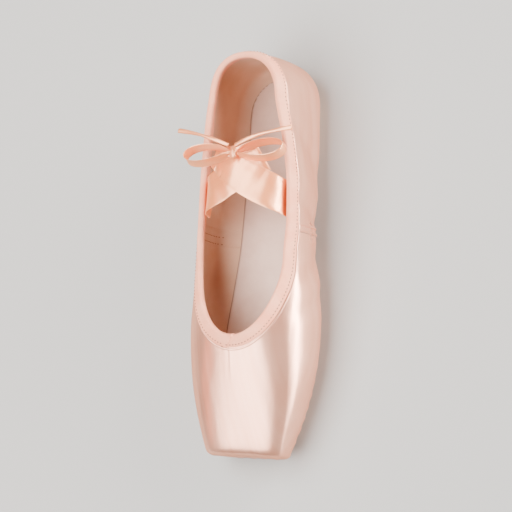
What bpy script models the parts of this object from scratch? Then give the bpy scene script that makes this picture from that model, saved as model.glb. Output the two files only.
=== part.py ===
"""A satin pointe shoe standing on its sole, toe toward -Y, on a straight last."""

import math

import bmesh
import bpy
import numpy as np
from mathutils import Vector

# Driving sizes of the last, in metres
LENGTH = 0.238
BALL_WIDTH = 0.081
HEEL_WIDTH = 0.058
PLATFORM_WIDTH = 0.050
PLATFORM_HEIGHT = 0.027
INSTEP_HEIGHT = 0.0500
HEEL_BACK_CROWN = 0.087
ARCH_LIFT = 0.0055
TOE_EDGE_RADIUS = 0.0026

# Materials and clearances
UPPER_WALL = 0.0020
SOLE_THICKNESS = 0.0028
INSOLE_THICKNESS = 0.0018
TAPE = 0.0008
GAP = 0.0003
INNER_GAP = 0.0004
SEAM_STEP = 0.0005
SEAM_WIDTH = 0.0085
SOLE_SKIVE = 0.0009
INSOLE_INSET = 0.0012
INSOLE_CLEARANCE = 0.00054

# Stations, as shares of the length from the toe
THROAT = 0.284
THROAT_END = 0.500
HEEL_TURN = 0.872
SEAM = 0.550
SOLE_TOE = 0.045
SOLE_HEEL = 0.968

# The last: station, spread of the side between the narrow end and the ball,
# crown height as a share of the instep, roundness above and below the widest line
LAST = (
    (0.000, 0.000, 0.590, 3.6, 3.6),
    (0.060, 0.300, 0.688, 3.2, 3.4),
    (0.120, 0.600, 0.784, 2.8, 3.2),
    (0.180, 0.830, 0.868, 2.5, 3.0),
    (0.240, 0.970, 0.945, 2.3, 3.0),
    (0.300, 1.000, 1.010, 2.3, 3.0),
    (0.360, 0.980, 1.030, 2.3, 3.0),
    (0.430, 0.790, 1.045, 2.3, 3.0),
    (0.500, 0.590, 1.130, 2.3, 3.0),
    (0.580, 0.430, 1.260, 2.3, 3.0),
    (0.680, 0.320, 1.440, 2.3, 2.8),
    (0.780, 0.120, 1.580, 2.3, 2.6),
    (0.872, 0.000, 1.450, 2.3, 2.6),
)

# The sole line: station, lift as a share of the arch lift
SOLE_LINE = (
    (0.000, 0.400),
    (0.060, 0.150),
    (0.120, 0.000),
    (0.340, 0.000),
    (0.450, 0.450),
    (0.560, 1.000),
    (0.670, 0.700),
    (0.790, 0.000),
    (1.000, 0.000),
)

# The collar behind the throat: station, half opening as a share of the last's half width
COLLAR = (
    (0.500, 0.815),
    (0.575, 0.885),
    (0.680, 0.905),
    (0.780, 0.885),
    (0.872, 0.780),
)
COLLAR_BACK = 0.860

# Rows of the grid: the middle of the platform, and the first under the sole
CAP_ROW = 8
SEAT_ROW = 12

# Rows of the lower side, as shares of the angle down to the seat's edge
LOWER_SHARES = (0.30, 0.62)

# The outsole: station, half width as a share of the ball's half width
SOLE_WIDTH = (
    (0.000, 0.500),
    (0.120, 0.600),
    (0.300, 0.700),
    (0.430, 0.590),
    (0.560, 0.480),
    (0.700, 0.500),
    (0.850, 0.540),
    (1.000, 0.540),
)
SOLE_TOE_ROUND = 0.017
SOLE_HEEL_ROUND = 0.021
MARGIN = 0.006

# Steps of the sole's outline round each end and along each side, and the rows from
# its edge to its centre line as shares of the half width
OUTLINE_STEPS = (6, 14)
PLATE_ROWS = (1.0, 0.82, 0.5, 0.0)

# Columns of the upper that cross the platform:
# angle on the platform's edge, angle along the throat, angle along the sole's front
CAP_COLUMNS = (
    (90.0, 0.0, 0.0),
    (68.0, 7.0, 9.0),
    (52.0, 13.0, 18.0),
    (40.0, 18.0, 27.0),
    (31.0, 23.0, 36.0),
    (22.0, 28.0, 45.0),
)

# Columns of the upper beside the box and throat: station at the widest line,
# angle along the throat, angle along the sole's front, angles of the side's rows
SIDE_COLUMNS = (
    (0.000, 32.0, 53.0, 18.0, 10.0),
    (0.0035, 36.0, 60.0, 15.0, 7.0),
    (0.011, 40.0, 67.0, 14.0, 6.0),
    (0.040, 44.0, 74.0, 18.0, 8.0),
    (0.080, 49.0, 82.0, 22.0, 9.0),
    (0.125, 54.0, 90.0, 26.0, 10.0),
    (0.175, 59.0, 90.0, 30.0, 12.0),
    (0.230, 64.5, 90.0, 32.0, 13.0),
    (0.290, 70.0, 90.0, 28.0, 11.0),
    (0.350, 76.0, 90.0, 25.0, 10.0),
    (0.410, 81.5, 90.0, 21.0, 8.0),
    (0.455, 86.0, 90.0, 18.0, 7.0),
    (0.500, 90.0, 90.0, 16.0, 6.0),
)
QUARTER_STATIONS = (0.5295, 0.534, 0.566, 0.5705, 0.605, 0.645, 0.685, 0.730, 0.775, 0.825, 0.872)
HEEL_TURNS = (11.0, 23.0, 35.0, 47.0, 59.0, 70.0, 80.0, 90.0)

BINDING_WIDTH = 0.0066
RIBBON_WIDTH = 0.0205
RIBBON_THICKNESS = 0.0006
BOW_WIDTH = 0.0068
BOW_REACH = 0.0325
BOW_DEPTH = 0.0145
BOW_TILT = math.radians(25.0)
BOW_TAPER = 0.35
BOW_PARTING = 0.0007
END_THICKNESS = 0.0021
KNOT_Y = 0.229 * LENGTH
KNOT_HEIGHT = 1.24 * INSTEP_HEIGHT
KNOT_SIZE = (0.0052, 0.0086, 0.0056)

# The ribbon's run from its own side: across as a share of the collar's half opening,
# along from the middle as a share of the length, height as a share of the instep
RIBBON_STATION = 0.632
RIBBON_ROUTE = (
    (0.860, 0.1260, 0.660),
    (0.860, 0.1282, 0.800),
    (0.830, 0.1324, 0.924),
    (0.690, 0.1408, 1.016),
    (0.405, 0.1576, 1.080),
    (0.000, 0.1870, 1.116),
    (-0.370, 0.2185, 1.080),
    (-0.510, 0.2345, 1.052),
    (-0.620, 0.2450, 1.036),
)

# Heights between which the upper ribbon rises over the lower, as shares of the instep
CROSSING_RISE = (0.92, 1.08)

# The end of the bow from the knot outward: across, along and up from the knot
END_ROUTE = (
    (0.0022, 0.0036, 0.0036),
    (0.0100, 0.0066, 0.0048),
    (0.0200, 0.0098, 0.0042),
    (0.0300, 0.0122, 0.0028),
    (0.0375, 0.0136, 0.0018),
)

# The casing's fold over the collar's edge, from outer leg to inner leg: depth through
# the upper's wall in walls, depth past it in tapes, rise above the edge in tapes
FOLD_OUTSIDE = (
    (0.0, -0.41, 1.24),
    (0.5, 0.00, 1.72),
    (1.0, 0.41, 1.24),
)
FOLD_INSIDE_RISE = 0.45

HEEL_CENTRE_Y = (HEEL_TURN - 0.5) * LENGTH
HEEL_DEPTH = (1.0 - HEEL_TURN) * LENGTH
HEEL_ROUNDNESS = 2.2


def curve_value(rows, column, station):
    """Monotone cubic through a table's column, so flats stay flat."""
    table = np.array(rows, float)
    x, y = table[:, 0], table[:, column]
    secant = np.diff(y) / np.diff(x)
    slope = np.zeros(len(x))
    both = secant[:-1] * secant[1:]
    inner = np.where(both > 0, 2 * both / np.where(both > 0, secant[:-1] + secant[1:], 1), 0)
    slope[1:-1] = inner
    slope[0], slope[-1] = secant[0], secant[-1]
    s = np.clip(station, x[0], x[-1])
    i = np.clip(np.searchsorted(x, s, side="right") - 1, 0, len(x) - 2)
    h = x[i + 1] - x[i]
    t = (s - x[i]) / h
    return (
        (2 * t**3 - 3 * t**2 + 1) * y[i]
        + (t**3 - 2 * t**2 + t) * h * slope[i]
        + (3 * t**2 - 2 * t**3) * y[i + 1]
        + (t**3 - t**2) * h * slope[i + 1]
    )


def half_width(station):
    narrow = np.where(station < 0.3, PLATFORM_WIDTH, HEEL_WIDTH) / 2
    return narrow + (BALL_WIDTH / 2 - narrow) * curve_value(LAST, 1, station)


def sole_lift(station):
    return ARCH_LIFT * curve_value(SOLE_LINE, 1, station)


def underside(station):
    return sole_lift(station) + SOLE_THICKNESS + GAP


def section_heights(station, turn):
    """Heights above and below the widest line, at a station or a turn round the heel."""
    low = PLATFORM_HEIGHT / 2
    crown = INSTEP_HEIGHT * curve_value(LAST, 2, station)
    crown = crown + (HEEL_BACK_CROWN - crown) * np.sin(turn) ** 2
    return crown - underside(station) - low, low


def edge_inset(station):
    """How far the rounded edge of the platform has drawn in."""
    back = TOE_EDGE_RADIUS - np.clip(station * LENGTH, 0, TOE_EDGE_RADIUS)
    return TOE_EDGE_RADIUS - np.sqrt(TOE_EDGE_RADIUS**2 - back**2)


def last_point(station, turn, angle):
    """A point of the last: station from the toe, turn round the heel, angle up the section."""
    inset = edge_inset(station)
    wide = half_width(station) - inset
    high, low = section_heights(station, turn)
    tall = np.where(angle >= 0, high, low) - inset
    power = np.where(angle >= 0, curve_value(LAST, 3, station), curve_value(LAST, 4, station))
    across, up = np.abs(np.cos(angle)), np.abs(np.sin(angle))
    reach = ((across / wide) ** power + (up / tall) ** power) ** (-1 / power)
    share = reach * across / wide
    bend = 2 / HEEL_ROUNDNESS
    side = np.sign(np.cos(angle)) * np.sign(np.cos(turn))
    x = share * wide * side * np.abs(np.cos(turn)) ** bend
    y = (station - 0.5) * LENGTH + share * HEEL_DEPTH * np.abs(np.sin(turn)) ** bend
    z = underside(station) + low + reach * np.sin(angle)
    return np.stack([x, y, z], -1)


def locate(x, y, above):
    """Station, turn and angle of the last's point over or under a place in plan."""
    station = min((y / LENGTH) + 0.5, HEEL_TURN)
    wide = float(half_width(station))
    behind = max(y - HEEL_CENTRE_Y, 0.0) / HEEL_DEPTH
    share = ((x / wide) ** HEEL_ROUNDNESS + behind**HEEL_ROUNDNESS) ** (1 / HEEL_ROUNDNESS)
    turn = math.atan2(behind ** (HEEL_ROUNDNESS / 2), (x / wide) ** (HEEL_ROUNDNESS / 2))
    return locate_share(station, turn, share, above)


def locate_share(station, turn, share, above):
    high, low = section_heights(station, turn)
    power = float(curve_value(LAST, 3 if above else 4, station))
    rise = (high if above else low) * (1 - min(share, 1.0) ** power) ** (1 / power)
    angle = math.atan2(rise, share * float(half_width(station)))
    return np.array([station, turn, angle if above else -angle])


def last_normal(place):
    """The last's outward unit normal, from small steps round the place."""
    place = np.maximum(place, [2e-4, 0, -2])
    along = np.array([0, 1e-3, 0]) if place[1] > 0 else np.array([1e-4, 0, 0])
    up = np.array([0, 0, 1e-3])
    a = last_point(*(place + along)) - last_point(*(place - along))
    b = last_point(*(place + up)) - last_point(*(place - up))
    normal = np.cross(a, b)
    return normal / np.linalg.norm(normal)


def throat_place(angle):
    """The collar's place on the half ellipse round the throat."""
    station = THROAT + (THROAT_END - THROAT) * (1 - math.cos(angle))
    side = COLLAR[0][1] * float(half_width(THROAT_END)) * math.sin(angle)
    return locate(side, (station - 0.5) * LENGTH, True)


def sole_front_place(angle):
    """The place of the seat opening's edge on its rounded front."""
    reach = SOLE_TOE_ROUND * (1 - math.cos(angle))
    station = SOLE_TOE + (MARGIN + reach) / LENGTH
    side = (sole_half_width(station) - MARGIN) * math.sin(angle)
    return locate(side, (station - 0.5) * LENGTH, False)


def sole_half_width(station):
    return BALL_WIDTH / 2 * float(curve_value(SOLE_WIDTH, 1, station))


def seat_place(station, turn):
    """The place of the seat opening's edge beside the waist and round the heel."""
    side = (sole_half_width(station) - MARGIN) * math.cos(turn)
    back_centre = (SOLE_HEEL - 0.5) * LENGTH - SOLE_HEEL_ROUND
    y = (station - 0.5) * LENGTH
    if station >= HEEL_TURN:
        y += (back_centre - HEEL_CENTRE_Y) * math.sin(turn)
        y += (SOLE_HEEL_ROUND - MARGIN) * math.sin(turn)
    return locate(side, y, False)


def side_places(station, turn, outer, inner, seat):
    """Four places down the side, the lower two kept above the seat's edge."""
    edge = TOE_EDGE_RADIUS / LENGTH
    first = max(station, edge)
    a, b = math.radians(outer), math.radians(inner)
    low_b = min(b, -LOWER_SHARES[0] * seat[2])
    low_a = min(a, -LOWER_SHARES[1] * seat[2])
    return [(first, turn, a), (station, turn, b), (station, turn, -low_b), (first, turn, -low_a)]


def column_anchors():
    """Each column of the half upper: collar, four places round the side, seat edge."""
    columns = []
    edge = TOE_EDGE_RADIUS / LENGTH
    for platform, throat, front in CAP_COLUMNS:
        angle = math.radians(platform)
        places = [(edge, 0, angle), (0, 0, angle), (0, 0, -angle), (edge, 0, -angle)]
        seat = sole_front_place(math.radians(front))
        columns.append((throat_place(math.radians(throat)), places, seat))
    for station, throat, front, outer, inner in SIDE_COLUMNS:
        seat = sole_front_place(math.radians(front)) if front < 90 else seat_place(station, 0.0)
        places = side_places(station, 0.0, outer, inner, seat)
        columns.append((throat_place(math.radians(throat)), places, seat))
    outer, inner = SIDE_COLUMNS[-1][3:]
    for station in QUARTER_STATIONS:
        collar = locate_share(station, 0.0, float(curve_value(COLLAR, 1, station)), True)
        seat = seat_place(station, 0.0)
        columns.append((collar, side_places(station, 0.0, outer, inner, seat), seat))
    for degrees in HEEL_TURNS:
        turn = math.radians(degrees)
        share = COLLAR[-1][1] + (COLLAR_BACK - COLLAR[-1][1]) * math.sin(turn) ** 2
        collar = locate_share(HEEL_TURN, turn, share, True)
        seat = seat_place(HEEL_TURN, turn)
        columns.append((collar, side_places(HEEL_TURN, turn, outer, inner, seat), seat))
    return columns


def below_collar(places, index, distance):
    """The place on the last this far down from the collar, square to its edge."""
    here = places[index]
    before = last_point(*places[index - 1]) if index else last_point(*places[1]) * [-1, 1, 1]
    if index + 1 < len(places):
        after = last_point(*places[index + 1])
    else:
        after = last_point(*places[index - 1]) * [-1, 1, 1]
    start = last_point(*here)
    normal = last_normal(here)
    down = np.cross(after - before, normal)
    down /= np.linalg.norm(down)
    target = start + down * distance
    place = np.array(here, float)
    free = (1, 2) if here[0] >= HEEL_TURN and here[1] > 0 else (0, 2)
    for _ in range(6):
        base = last_point(*place)
        steps = []
        for axis in free:
            moved = place.copy()
            moved[axis] += 1e-4
            steps.append((last_point(*moved) - base) / 1e-4)
        shift = np.linalg.lstsq(np.array(steps).T, target - base, rcond=None)[0]
        place[list(free)] += shift
    if index == 0 or index + 1 == len(places):
        place[2 if here[0] < HEEL_TURN else 1] = here[2 if here[0] < HEEL_TURN else 1]
    return place, down


def between(start, end, steps):
    return [start + (end - start) * k / steps for k in range(1, steps + 1)]


def upper_grid():
    """Points of the half upper, a row of places for each column, collar to seat."""
    columns = column_anchors()
    collar = [column[0] for column in columns]
    grid = []
    downs = []
    for index, (top, sides, seat) in enumerate(columns):
        second, down = below_collar(collar, index, BINDING_WIDTH)
        sides = [np.array(side, float) for side in sides]
        places = [top, second]
        places += between(second, sides[0], 4)
        for first, last in zip(sides, sides[1:]):
            places += between(first, last, 2)
        places += between(sides[3], seat, 3)
        points = np.array([last_point(*place) for place in places])
        normals = np.array([last_normal(place) for place in places])
        if index < len(CAP_COLUMNS):
            points[CAP_ROW] = (points[CAP_ROW - 1] + points[CAP_ROW + 1]) / 2
            normals[CAP_ROW - 1 : CAP_ROW + 2] = (0.0, -1.0, 0.0)
        station = sides[1][0]
        if abs(station - SEAM) * LENGTH < SEAM_WIDTH / 2 and sides[1][1] == 0:
            points[2:SEAT_ROW] += normals[2:SEAT_ROW] * SEAM_STEP
        grid.append((points, normals))
        downs.append(down)
    return grid, downs


def mirrored_ring(half):
    """A full turn of columns from the half: toe centre, +X side, heel centre, -X side."""
    other = [points * [-1, 1, 1] for points in half[-2:0:-1]]
    return np.array(list(half) + other)


def new_object(name, mesh, colour, roughness):
    obj = bpy.data.objects.new(name, mesh)
    material = bpy.data.materials.new(name)
    material.use_nodes = True
    shader = material.node_tree.nodes["Principled BSDF"]
    shader.inputs["Base Color"].default_value = (*colour, 1.0)
    shader.inputs["Roughness"].default_value = roughness
    mesh.materials.append(material)
    parts.objects.link(obj)
    return obj


def loft_mesh(name, ring):
    """Triangles over a closed ring of closed sections, the same on the left and the right."""
    columns, rows = ring.shape[:2]
    vertices = [tuple(point) for column in ring for point in column]
    faces = []
    for i in range(columns):
        j = (i + 1) % columns
        for k in range(rows):
            m = (k + 1) % rows
            a, b, c, d = i * rows + k, i * rows + m, j * rows + m, j * rows + k
            faces += [(a, b, c), (a, c, d)] if i < columns // 2 else [(a, b, d), (b, c, d)]
    mesh = bpy.data.meshes.new(name)
    mesh.from_pydata(vertices, [], faces)
    finish_mesh(mesh)
    return mesh


def finish_mesh(mesh):
    work = bmesh.new()
    work.from_mesh(mesh)
    bmesh.ops.remove_doubles(work, verts=work.verts, dist=1e-6)
    bmesh.ops.dissolve_degenerate(work, edges=work.edges, dist=1e-7)
    bmesh.ops.recalc_face_normals(work, faces=work.faces)
    work.to_mesh(mesh)
    work.free()
    mesh.shade_smooth()
    mesh.set_sharp_from_angle(angle=math.radians(38))


def make_upper(grid):
    """The shell: each column's outer points down, then its inner points back up."""
    half = []
    for points, normals in grid:
        inner = points - normals * UPPER_WALL
        half.append(np.vstack([points, inner[::-1]]))
    mesh = loft_mesh("upper", mirrored_ring(half))
    return new_object("upper", mesh, (0.86, 0.62, 0.54), 0.35)


def make_binding(grid, downs):
    """The casing: a tape folded over the collar's edge, outer leg to inner leg."""
    outside = GAP + TAPE
    inside = UPPER_WALL + INNER_GAP
    half = []
    for (points, normals), down in zip(grid, downs):
        edge, edge_n = points[0], normals[0]
        low, low_n = points[1], normals[1]
        fold = [
            edge - edge_n * (UPPER_WALL * walls + TAPE * past) - down * TAPE * rise
            for walls, past, rise in FOLD_OUTSIDE
        ]
        crest = edge - edge_n * (UPPER_WALL / 2) - down * TAPE * FOLD_INSIDE_RISE
        outer_leg = [low + low_n * outside, edge + edge_n * outside]
        inner_leg = [edge - edge_n * (inside + TAPE), low - low_n * (inside + TAPE)]
        inner_face = [low - low_n * inside, edge - edge_n * inside]
        outer_face = [edge + edge_n * GAP, low + low_n * GAP]
        half.append(outer_leg + fold + inner_leg + inner_face + [crest] + outer_face)
    ring = mirrored_ring([np.array(section) for section in half])
    mesh = loft_mesh("collar_binding", ring)
    return new_object("collar_binding", mesh, (0.85, 0.58, 0.50), 0.6)


def sole_outline(inset):
    """Half outline of the sole, toe centre to heel centre, as plan points."""
    steps, count = OUTLINE_STEPS
    toe = (SOLE_TOE - 0.5) * LENGTH + inset
    heel = (SOLE_HEEL - 0.5) * LENGTH - inset
    points = []
    for k in range(steps + 1):
        angle = math.pi / 2 * k / steps
        y = toe + SOLE_TOE_ROUND * (1 - math.cos(angle))
        points.append(((sole_half_width(y / LENGTH + 0.5) - inset) * math.sin(angle), y))
    first, last = points[-1][1], heel - SOLE_HEEL_ROUND
    for k in range(1, count):
        y = first + (last - first) * k / count
        points.append((sole_half_width(y / LENGTH + 0.5) - inset, y))
    for k in range(steps + 1):
        angle = math.pi / 2 * k / steps
        y = last + SOLE_HEEL_ROUND * math.sin(angle)
        points.append(((sole_half_width(y / LENGTH + 0.5) - inset) * math.cos(angle), y))
    points[0] = (0.0, points[0][1])
    points[-1] = (0.0, points[-1][1])
    return points


def plate_mesh(name, outline, under_outline, top, bottom):
    """A plate between two outlines: rows from edge to centre line, heights by plan."""
    shares = PLATE_ROWS
    upper_rows, lower_rows = [], []
    for (x, y), (low_x, low_y) in zip(outline, under_outline):
        upper_rows.append([(x * share, y, top(x * share, y)) for share in shares])
        lower_rows.append([(low_x * s, low_y, bottom(low_x * s, low_y)) for s in shares[::-1]])
    half = [np.array(a + b) for a, b in zip(upper_rows, lower_rows)]
    columns, rows = len(half), len(half[0])
    vertices, faces = [], []
    for side in (1, -1):
        start = len(vertices)
        vertices += [tuple(point * [side, 1, 1]) for column in half for point in column]
        for i in range(columns - 1):
            for k in range(rows):
                if k == len(shares) - 1:
                    continue
                m = (k + 1) % rows
                a, b = start + i * rows, start + (i + 1) * rows
                face = (a + k, a + m, b + m, b + k)
                faces.append(face if side > 0 else face[::-1])
    mesh = bpy.data.meshes.new(name)
    mesh.from_pydata(vertices, [], faces)
    finish_mesh(mesh)
    return mesh


def under_upper(x, y):
    place = locate(abs(x), y, False)
    return float(last_point(*place)[2])


def make_outsole():
    def top(x, y):
        return under_upper(x, y) - GAP

    def bottom(x, y):
        return float(sole_lift(y / LENGTH + 0.5))

    mesh = plate_mesh("outsole", sole_outline(0.0), sole_outline(SOLE_SKIVE), top, bottom)
    return new_object("outsole", mesh, (0.62, 0.47, 0.36), 0.7)


def make_insole():
    def bottom(x, y):
        return under_upper(x, y) + UPPER_WALL + INSOLE_CLEARANCE

    def top(x, y):
        return bottom(x, y) + INSOLE_THICKNESS

    outline = sole_outline(INSOLE_INSET)
    mesh = plate_mesh("insole", outline, outline, top, bottom)
    return new_object("insole", mesh, (0.52, 0.40, 0.36), 0.7)


def strip_mesh(name, centres, width, across, thickness, strips=1):
    """A closed flat ribbon along its centres, with the direction across it at each."""
    centres = np.array(centres)
    tangents = np.gradient(centres, axis=0)
    tangents /= np.linalg.norm(tangents, axis=1, keepdims=True)
    shares = [0.5 - k / strips for k in range(strips + 1)]
    vertices = []
    for centre, tangent, side in zip(centres, tangents, across):
        side = side - tangent * np.dot(side, tangent)
        side /= np.linalg.norm(side)
        face = np.cross(tangent, side) * thickness / 2
        vertices += [tuple(centre + side * width * share + face) for share in shares]
        vertices += [tuple(centre + side * width * share - face) for share in shares]
    count, back = 2 * len(shares), len(shares)
    faces = []
    for i in range(len(centres) - 1):
        here, after = i * count, (i + 1) * count
        for k in range(strips):
            a, b, c, d = here + k, here + k + 1, after + k + 1, after + k
            faces += [(a, b, c), (a, c, d)]
            faces += [(c + back, b + back, a + back), (d + back, c + back, a + back)]
        faces.append((here, after, after + back, here + back))
        faces.append((here + strips, here + strips + back, after + strips + back, after + strips))
    last = (len(centres) - 1) * count
    for k in range(strips):
        faces.append((k, k + back, k + 1 + back, k + 1))
        faces.append((last + k, last + k + 1, last + k + 1 + back, last + k + back))
    mesh = bpy.data.meshes.new(name)
    mesh.from_pydata(vertices, [], faces)
    finish_mesh(mesh)
    return mesh


def smooth_route(points, count):
    """Even samples of the Catmull-Rom curve through a route's points."""
    points = np.array(points, float)
    padded = np.vstack([2 * points[0] - points[1], points, 2 * points[-1] - points[-2]])
    result = []
    for sample in np.linspace(0, len(points) - 1, count):
        i = min(int(sample), len(points) - 2)
        t = sample - i
        a, b, c, d = padded[i : i + 4]
        cubic = (3 * b - a - 3 * c + d) * t**3
        square = (2 * a - 5 * b + 4 * c - d) * t**2
        result.append((2 * b + (c - a) * t + square + cubic) / 2)
    return np.array(result)


def make_ribbon(name, side, layer):
    opening = float(curve_value(COLLAR, 1, RIBBON_STATION) * half_width(RIBBON_STATION))
    route = np.array(RIBBON_ROUTE) * [side * opening, LENGTH, INSTEP_HEIGHT]
    centres = smooth_route(route, 17)
    start, end = (INSTEP_HEIGHT * share for share in CROSSING_RISE)
    centres[:, 2] += layer * np.clip((centres[:, 2] - start) / (end - start), 0, 1)
    across = [np.array([0.0, 1.0, 0.0])] * len(centres)
    mesh = strip_mesh(name, centres, RIBBON_WIDTH, across, RIBBON_THICKNESS, strips=3)
    return new_object(name, mesh, (0.90, 0.60, 0.46), 0.4)


def make_loop(name, side):
    """A teardrop band from the knot out to the side and back, tipped toward the heel."""
    short = np.array([0.0, math.cos(BOW_TILT), -math.sin(BOW_TILT)])
    across = np.array([0.0, math.sin(BOW_TILT), math.cos(BOW_TILT)])
    knot = np.array([0.0, KNOT_Y, KNOT_HEIGHT])
    start = KNOT_SIZE[0] / 2 + GAP
    centres = []
    count = 25
    for k in range(count):
        angle = math.pi * (2 * k / (count - 1) - 1)
        reach = start + (BOW_REACH - start) * (1 + math.cos(angle)) / 2
        swell = BOW_DEPTH / 2 * math.sin(angle) * ((1 + math.cos(angle)) / 2) ** BOW_TAPER
        spread = math.copysign(BOW_PARTING, angle) if abs(angle) > 0.9 * math.pi else 0.0
        centres.append(knot + np.array([side * reach, 0, 0]) + short * (swell + spread))
    mesh = strip_mesh(name, centres, BOW_WIDTH, [across] * count, RIBBON_THICKNESS)
    return new_object(name, mesh, (0.90, 0.60, 0.46), 0.4)


def make_knot():
    bpy.ops.mesh.primitive_uv_sphere_add(segments=16, ring_count=10, radius=0.5)
    knot = bpy.context.object
    mesh = knot.data
    bpy.data.objects.remove(knot)
    for vertex in mesh.vertices:
        vertex.co = Vector(a * b for a, b in zip(vertex.co, KNOT_SIZE))
    mesh.name = "bow_knot"
    mesh.shade_smooth()
    knot = new_object("bow_knot", mesh, (0.90, 0.62, 0.50), 0.45)
    knot.location = (0.0, KNOT_Y, KNOT_HEIGHT)
    return knot


def make_end(name, side):
    points = smooth_route(np.array(END_ROUTE) * [side, 1, 1], 13)
    curve = bpy.data.curves.new(name, "CURVE")
    curve.dimensions = "3D"
    curve.bevel_depth = END_THICKNESS / 2
    curve.bevel_resolution = 2
    curve.use_fill_caps = True
    spline = curve.splines.new("POLY")
    spline.points.add(len(points) - 1)
    for target, (x, y, z) in zip(spline.points, points):
        target.co = (x, y + KNOT_Y, z + KNOT_HEIGHT, 1.0)
    return new_object(name, curve, (0.90, 0.62, 0.50), 0.45)


for existing in list(bpy.data.objects):
    bpy.data.objects.remove(existing)
parts = bpy.data.collections.new("pointe_shoe")
bpy.context.scene.collection.children.link(parts)

half_grid, collar_downs = upper_grid()
make_outsole()
make_upper(half_grid)
make_insole()
make_binding(half_grid, collar_downs)
make_ribbon("ribbon_left", -1, 0.0)
make_ribbon("ribbon_right", 1, RIBBON_THICKNESS + 3 * GAP)
make_loop("bow_loop_left", -1)
make_loop("bow_loop_right", 1)
make_knot()
make_end("bow_end_left", -1)
make_end("bow_end_right", 1)
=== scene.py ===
import math

import bmesh
import bpy
import numpy as np
from mathutils import Matrix


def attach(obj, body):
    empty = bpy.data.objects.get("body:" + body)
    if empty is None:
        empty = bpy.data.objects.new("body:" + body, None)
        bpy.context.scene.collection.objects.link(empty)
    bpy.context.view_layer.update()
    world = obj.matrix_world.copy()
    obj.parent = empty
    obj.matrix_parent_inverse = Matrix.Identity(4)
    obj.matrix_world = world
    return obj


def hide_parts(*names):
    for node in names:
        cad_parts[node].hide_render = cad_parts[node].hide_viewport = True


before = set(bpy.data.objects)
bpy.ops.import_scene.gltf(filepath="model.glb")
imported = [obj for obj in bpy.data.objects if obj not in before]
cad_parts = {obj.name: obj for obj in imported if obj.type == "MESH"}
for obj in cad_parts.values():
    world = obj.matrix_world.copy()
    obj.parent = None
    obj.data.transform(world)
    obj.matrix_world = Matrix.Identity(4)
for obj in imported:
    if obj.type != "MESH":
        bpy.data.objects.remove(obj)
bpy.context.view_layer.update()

# The camera looks down on the throat from the shoe's right and a little from its toe,
# far off with a long lens, with the toe down the picture.
YAW, PITCH = math.radians(28.5), math.radians(9.0)
DISTANCE = 1.25
FRAME_WIDTH = 0.302
SENSOR_WIDTH = 36
TARGET = np.array([0.0005, -0.0005, 0.026])
SIDEWAYS = -0.0007


def turned(right, up, away, place):
    """The matrix of a camera or lamp at a place, from its right, up and backward directions."""
    rows = [[*row, where] for row, where in zip(np.stack([right, up, away], 1), place)]
    return Matrix(rows + [[0, 0, 0, 1]])


back = np.array([
    math.sin(YAW), -math.sin(PITCH) * math.cos(YAW), math.cos(PITCH) * math.cos(YAW)])
rightward = np.cross([0.0, math.cos(PITCH), math.sin(PITCH)], back)
rightward /= np.linalg.norm(rightward)
upward = np.cross(back, rightward)
camera_data = bpy.data.cameras.new("camera")
camera_data.sensor_width = SENSOR_WIDTH
camera_data.lens = SENSOR_WIDTH * DISTANCE / FRAME_WIDTH
camera = bpy.data.objects.new("camera", camera_data)
place = TARGET + SIDEWAYS * rightward + back * DISTANCE
camera.matrix_world = turned(rightward, upward, back, place)
bpy.context.scene.collection.objects.link(camera)
bpy.context.scene.camera = camera


# The two wide ribbons are woven satin, sewn inside the collar at the waist. They come up
# over the foot's opening, cross with the right one on top, and end behind the bow.
RIBBON_WIDTH = 0.0205
RIBBON_THICKNESS = 0.0005
RIBBON_ROUTE = (
    (0.0259, 0.0302, 0.0385),
    (0.0258, 0.0305, 0.0415),
    (0.0249, 0.0315, 0.0462),
    (0.0207, 0.0335, 0.0508),
    (0.0121, 0.0375, 0.0540),
    (0.0000, 0.0445, 0.0558),
    (-0.0111, 0.0520, 0.0540),
    (-0.0150, 0.0555, 0.0527),
    (-0.0183, 0.0580, 0.0519),
)
RIBBON_POINTS = 130
RIBBON_ROWS = 24
CROSSING_START = 0.046
CROSSING_SPAN = 0.008
NARROW_FROM = 0.78
RIPPLE, WAVE, CRINKLE = 0.00030, 0.0005, 0.0002
SELVEDGE_IN, SELVEDGE_OUT = 0.0009, 0.0004
RIBBON_COLOUR = (0.87, 0.235, 0.07, 1)
RIBBON_PALE = (0.91, 0.31, 0.12, 1)


def node(tree, kind, values=None, **settings):
    """A shader node with its settings, and a value or a link for each named socket."""
    made = tree.nodes.new(kind)
    for key, value in settings.items():
        setattr(made, key, value)
    for key, value in (values or {}).items():
        socket = made.inputs[key]
        if isinstance(value, bpy.types.NodeSocket):
            tree.links.new(value, socket)
        else:
            socket.default_value = value
    return made


def ramp(tree, factor, stops):
    """The colour along a ramp whose stops are pairs of position and colour."""
    made = node(tree, "ShaderNodeValToRGB", {"Fac": factor})
    elements = made.color_ramp.elements
    while len(elements) < len(stops):
        elements.new(0.5)
    for element, (position, colour) in zip(elements, stops):
        element.position = position
        element.color = colour
    return made.outputs["Color"]


def finish(name, **sockets):
    """A new material with the plain values of its finish, and its node tree."""
    material = bpy.data.materials.new(name)
    material.use_nodes = True
    tree = material.node_tree
    shader = tree.nodes["Principled BSDF"]
    for key, value in sockets.items():
        shader.inputs[key.replace("_", " ")].default_value = value
    return material, tree, shader


def group_tree(name, inputs, outputs):
    """An empty node group with float inputs and named outputs."""
    tree = bpy.data.node_groups.new(name, "ShaderNodeTree")
    for label, value in inputs.items():
        socket = tree.interface.new_socket(label, in_out="INPUT", socket_type="NodeSocketFloat")
        socket.default_value = value
    for label in outputs:
        tree.interface.new_socket(label, in_out="OUTPUT", socket_type="NodeSocketFloat")
    return tree, tree.nodes.new("NodeGroupInput"), tree.nodes.new("NodeGroupOutput")


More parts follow.
